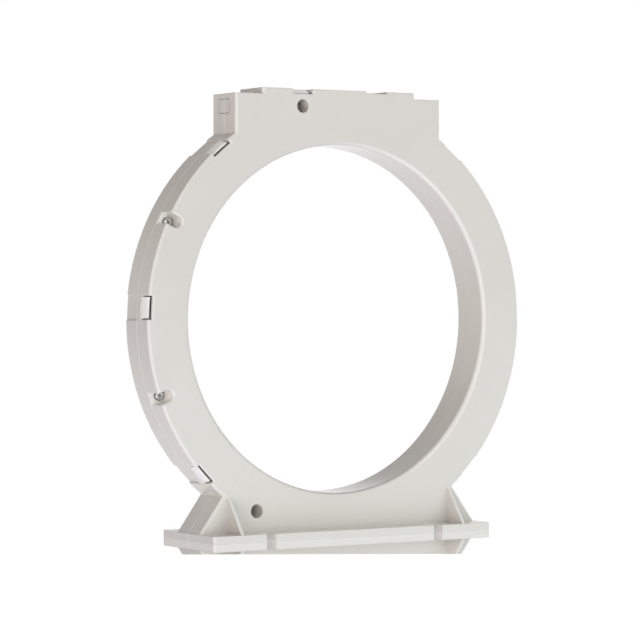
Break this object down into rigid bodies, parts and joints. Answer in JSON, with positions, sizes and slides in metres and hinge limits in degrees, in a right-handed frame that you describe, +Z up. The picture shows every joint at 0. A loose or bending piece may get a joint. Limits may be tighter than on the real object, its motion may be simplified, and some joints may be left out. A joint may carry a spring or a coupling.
{
  "type": "current transformer",
  "caption": "Ring current transformer in a snap-together moulded casing with a wide round window, a terminal block on top and a flared foot on a slotted base plate.",
  "frame": {"origin": "bottom centre of the base plate, under the middle of the round window and on the parting plane of the casing", "axes": "+X to the right seen from the front, +Y from the front half to the rear half, along the conductors that pass through the window, +Z up"},
  "size_m": [0.2648, 0.0626, 0.2689],
  "materials": {
    "casing": "satin light grey moulding",
    "screw": "zinc plated",
    "terminal_plastic": "satin black moulding",
    "clamp": "plain drawn brass",
    "clamp_screw": "zinc plated",
    "start_lead": "white insulation",
    "finish_lead": "black insulation",
    "core": "bright wound ribbon",
    "cushion": "soft silicone sheet",
    "core_case": "satin black moulding",
    "winding": "enamelled copper wire",
    "wrap": "yellow polyester tape",
    "foam": "dark closed-cell foam"
  },
  "bodies": {
    "root": {"front_shell": "casing", "rear_shell": "casing", "front_screws": "screw", "rear_screws": "screw", "terminal_body": "terminal_plastic", "start_clamp": "clamp", "finish_clamp": "clamp", "clamp_screws": "clamp_screw", "start_lead": "start_lead", "finish_lead": "finish_lead", "wound_core": "core", "core_cushion": "cushion", "core_case": "core_case", "core_case_lid": "core_case", "secondary_winding": "winding", "winding_wrap": "wrap", "front_foam_ring": "foam", "rear_foam_ring": "foam"}
  },
  "joints": []
}
